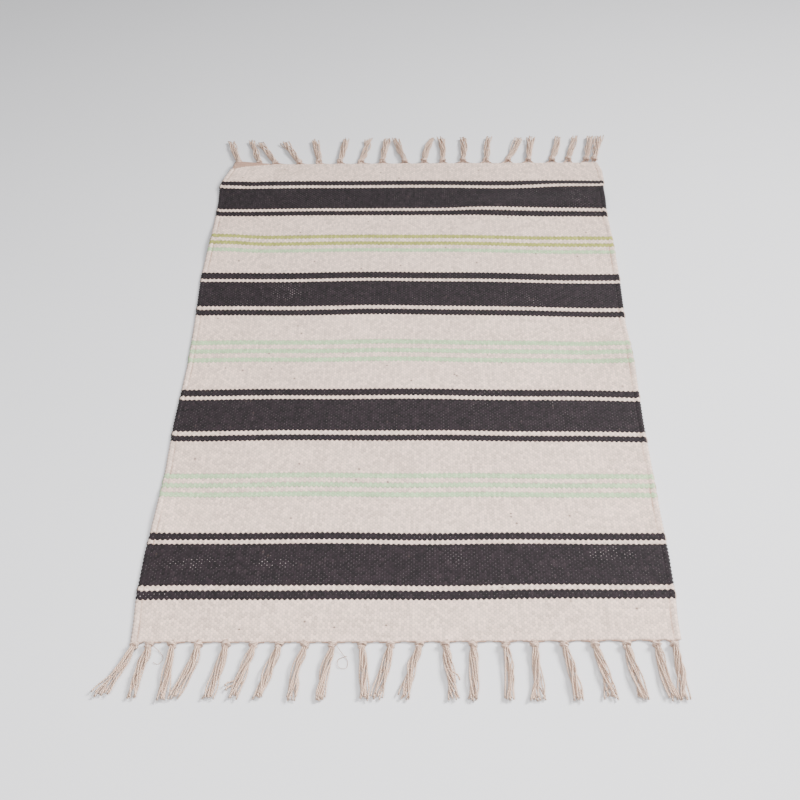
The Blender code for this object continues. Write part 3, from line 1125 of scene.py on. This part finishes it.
# How single tassels of the near end differ: (strands that stray, sideways reach in mm, from this
# share of the length, how much they curl back).
NEAR_HABITS = {
    1: ((4, -6.0, 0.45, 0.0), (3, 3.0, 0.55, 0.0)),
    4: ((10, -5.0, 0.35, 0.0),),
    6: ((2, -11.0, 0.55, 0.5),),
    11: ((2, -5.0, 0.5, 0.0),),
    13: ((1, 10.0, 0.25, 0.8),),
    16: ((3, -9.0, 0.45, 0.0),),
    18: ((2, 4.0, 0.6, 0.0),),
    20: ((3, 5.0, 0.5, 0.0),),
}


def tassel(name, knot, tip, habits):
    """Hangs one tassel from its knot: two-ply strands that lie together on the floor and part at
    their cut ends."""
    fringe = setting("fringe")
    rng = np.random.default_rng(sum(ord(letter) * (place + 3) for place, letter in enumerate(name)))
    share = np.linspace(0, 1, TASSEL_RINGS)
    reach = tip - knot
    strands = fringe.strands
    sway = rng.uniform(-0.0022, 0.0022)
    swing = rng.uniform(0.7, 1.3)
    axis = knot + reach * share[:, None]
    axis[:, 0] += sway * np.sin(math.pi * share * swing) * smooth(share * 2.5)
    axis[:, 2] = TASSEL_LOW + (knot[2] - TASSEL_LOW) * (1 - smooth(share / 0.30))
    wide = np.interp(share, TASSEL_SHARES, TASSEL_WIDE)
    tall = np.interp(share, TASSEL_SHARES, TASSEL_TALL)
    turn_rate = rng.uniform(0.25, 0.6) * rng.choice((-1, 1))
    surface = Surface()
    habit_of = {}
    for count, sideways, start, curl in habits:
        taken = len(habit_of)
        for strand in range(taken, min(taken + count, strands)):
            habit_of[strand] = (sideways / 1000, start, curl)
    for strand in range(strands):
        out = math.sqrt((strand + 0.5) / strands)
        round_place = strand * GOLDEN_ANGLE + TAU * turn_rate * share
        across = wide * out * np.cos(round_place)
        above = tall * out * np.sin(round_place)
        loose = rng.normal(0, 0.0011) * smooth((share - 0.25) / 0.75)
        waves = rng.uniform(0.0002, 0.0009) * np.sin(TAU * (share * rng.uniform(1.0, 2.2) + rng.random()))
        across = across + loose + waves * smooth(share * 3)
        path = axis.copy()
        path[:, 1] = knot[1] + (path[:, 1] - knot[1]) * rng.uniform(0.93, 1.03)
        if strand in habit_of:
            sideways, start, curl = habit_of[strand]
            away = smooth((share - start) / (1 - start))
            across = across + (sideways + rng.normal(0, 0.001)) * away
            path[:, 1] -= reach[1] * curl * 0.35 * away ** 2
        fall = smooth((share - 0.75) / 0.25) * max(0.0, above[-1]) * 0.5
        path[:, 0] += across
        path[:, 2] = np.maximum(path[:, 2] + above - fall, fringe.strand_radius + 0.0001)
        turn = TAU * lengths_along(path) / fringe.ply_pitch + rng.uniform(0, TAU)
        radius = fringe.strand_radius * rng.uniform(0.88, 1.12) * (1 + 0.12 * smooth((share - 0.92) / 0.08))
        add_strand(surface, path, radius, 8, 2, turn, strand, strips_of(strand, strands))
    add_piece(surface, "strands_" + name, "fringe_yarn", name, name)


def stray_loop(name, start, turns, body):
    """One fine thread that has worked loose beside the fringe."""
    surface = Surface()
    points = np.array(turns, float) + start
    share = np.linspace(0, len(points) - 1, STRAY_RINGS)
    base = np.clip(share.astype(int), 0, len(points) - 2)
    path = np.zeros((STRAY_RINGS, 3))
    for offset, weight in zip(range(-1, 3), Lie.weights(share - base)):
        path += weight[:, None] * points[np.clip(base + offset, 0, len(points) - 1)]
    path[:, 2] = np.maximum(path[:, 2], 0.0004)
    add_strand(surface, path, STRAY_RADIUS, 5, 1, 0.0, 0, (0, 1, 0, 1))
    add_piece(surface, name, "fringe_yarn", body)


# ---------------------------------------------------------------- operators

class BATHMAT_OT_lay_cloth(bpy.types.Operator):
    """Lay the flat sheet on the floor and let it settle"""

    bl_idname = "bath_mat.lay_cloth"
    bl_label = "Lay Cloth"

    def execute(self, context):
        cloth = Lie()
        cloth.settle()
        LYING["cloth"] = cloth
        return {"FINISHED"}


class BATHMAT_OT_weave(bpy.types.Operator):
    """Weave every run of weft yarn, with the yarn carried up the selvedges"""

    bl_idname = "bath_mat.weave"
    bl_label = "Weave"

    def execute(self, context):
        for name, nodes, bodies, slot in WOVEN_PIECES:
            piece, flat = weave_piece(name, nodes, bodies, slot)
            piece["flat_width"], piece["flat_length"] = flat
        return {"FINISHED"}


class BATHMAT_OT_tie_knots(bpy.types.Operator):
    """Gather the warp ends and tie them into overhand knots"""

    bl_idname = "bath_mat.tie_knots"
    bl_label = "Tie Knots"

    def execute(self, context):
        tie_end("near", "near_half", NEAR_EDGE, -1.0, "warp_near")
        tie_end("far", "far_half", FAR_EDGE, 1.0, "warp_far")
        return {"FINISHED"}


class BATHMAT_OT_hang_tassels(bpy.types.Operator):
    """Lay out the plied strands of every tassel"""

    bl_idname = "bath_mat.hang_tassels"
    bl_label = "Hang Tassels"

    def execute(self, context):
        for side, habits in (("near", NEAR_HABITS), ("far", {})):
            for place, (name, knot, tip) in enumerate(knot_places(side)):
                tassel(name, knot, tip, habits.get(place + 1, ()))
        return {"FINISHED"}


class BATHMAT_OT_stray_threads(bpy.types.Operator):
    """Leave a few fine threads loose beside the near fringe"""

    bl_idname = "bath_mat.stray_threads"
    bl_label = "Stray Threads"

    def execute(self, context):
        places = {name: knot for name, knot, _ in knot_places("near")}
        for number, (beside, right, turns) in enumerate(STRAY_THREADS, 1):
            knot = places[beside]
            stray_loop(f"stray_thread_{number}", (knot[0] + right, knot[1], 0.0), turns, "near_half")
        return {"FINISHED"}


class BATHMAT_OT_declare_cloth(bpy.types.Operator):
    """Does nothing; each woven run's flat size is stored on its piece when it is woven"""

    bl_idname = "bath_mat.declare_cloth"
    bl_label = "Declare Cloth"

    def execute(self, context):
        return {"FINISHED"}


FLOOR_SIZE = 60.0

# Lamps: name, place, target, size, spread of the beam in degrees, and the setting that holds the power.
LAMPS = (
    ("softbox", (2.8, 0.9, 2.4), (0.0, -0.55, 0.0), (1.3, 1.3), 70.0, "softbox_power"),
    ("front_fill", (-0.1, -1.0, 1.5), (0.0, 0.0, 0.0), (1.6, 1.0), 180.0, "fill_power"),
)


def add_lamp(name, place, target, size, spread, power):
    """Hangs one softbox that faces a target, with the spread of its beam in degrees."""
    light = bpy.data.lights.new(name, "AREA")
    light.shape = "RECTANGLE"
    light.size, light.size_y = size
    light.energy = power
    light.spread = math.radians(spread)
    lamp = bpy.data.objects.new(name, light)
    lamp.location = place
    lamp.rotation_euler = (Vector(target) - Vector(place)).to_track_quat("-Z", "Y").to_euler()
    bpy.context.scene.collection.objects.link(lamp)


class BATHMAT_OT_stage(bpy.types.Operator):
    """Set out the floor, the soft light and the camera"""

    bl_idname = "bath_mat.stage"
    bl_label = "Stage"

    def execute(self, context):
        stage = setting("stage")
        scene = context.scene
        bpy.ops.object.select_all(action="DESELECT")
        bpy.ops.mesh.primitive_plane_add(size=FLOOR_SIZE, location=(0, 0, 0))
        floor = context.object
        floor.name = "floor"
        shade = Shade("floor")
        cloud = shade.noise(shade.node("ShaderNodeTexCoord", output=3), 4.0, 3.0)
        base = opaque(setting("colours").floor)
        colour = shade.tone(base, 0.985 + cloud * 0.03)
        floor.data.materials.append(shade.finish(colour, 0.7 + cloud * 0.05, cloud, 0.0001, 0.0))
        for name, place, target, size, spread, power in LAMPS:
            add_lamp(name, place, target, size, spread, getattr(stage, power))
        world = bpy.data.worlds.new("surround")
        world.use_nodes = True
        world.node_tree.nodes["Background"].inputs["Color"].default_value = (1.0, 1.0, 1.0, 1.0)
        world.node_tree.nodes["Background"].inputs["Strength"].default_value = stage.surround
        scene.world = world
        lens = bpy.data.cameras.new("camera")
        lens.lens = stage.lens
        camera = bpy.data.objects.new("camera", lens)
        camera.location = stage.camera_place
        camera.rotation_euler = stage.camera_turn
        scene.collection.objects.link(camera)
        scene.camera = camera
        return {"FINISHED"}


OPERATORS = (
    BATHMAT_OT_lay_cloth,
    BATHMAT_OT_weave,
    BATHMAT_OT_tie_knots,
    BATHMAT_OT_hang_tassels,
    BATHMAT_OT_stray_threads,
    BATHMAT_OT_declare_cloth,
    BATHMAT_OT_stage,
)


class BATHMAT_PT_panel(bpy.types.Panel):
    """Lists the steps and sizes of the bath mat"""

    bl_label = "Bath Mat"
    bl_idname = "BATHMAT_PT_panel"
    bl_space_type = "VIEW_3D"
    bl_region_type = "UI"
    bl_category = "Bath Mat"

    def draw(self, context):
        layout = self.layout
        for operator in OPERATORS:
            layout.operator(operator.bl_idname)
        for group, kind in SETTING_GROUPS.items():
            box = layout.box()
            box.label(text=kind.__doc__)
            for name in kind.__annotations__:
                box.prop(getattr(context.scene, group), name)


def register():
    for kind in (*SETTING_GROUPS.values(), *OPERATORS, BATHMAT_PT_panel):
        bpy.utils.register_class(kind)
    for group, kind in SETTING_GROUPS.items():
        setattr(bpy.types.Scene, group, PointerProperty(type=kind))


def unregister():
    for group in SETTING_GROUPS:
        delattr(bpy.types.Scene, group)
    for kind in (BATHMAT_PT_panel, *reversed(OPERATORS), *reversed(list(SETTING_GROUPS.values()))):
        bpy.utils.unregister_class(kind)


def main():
    register()
    for operator in OPERATORS:
        group, name = operator.bl_idname.split(".")
        getattr(getattr(bpy.ops, group), name)()


if __name__ == "__main__":
    main()
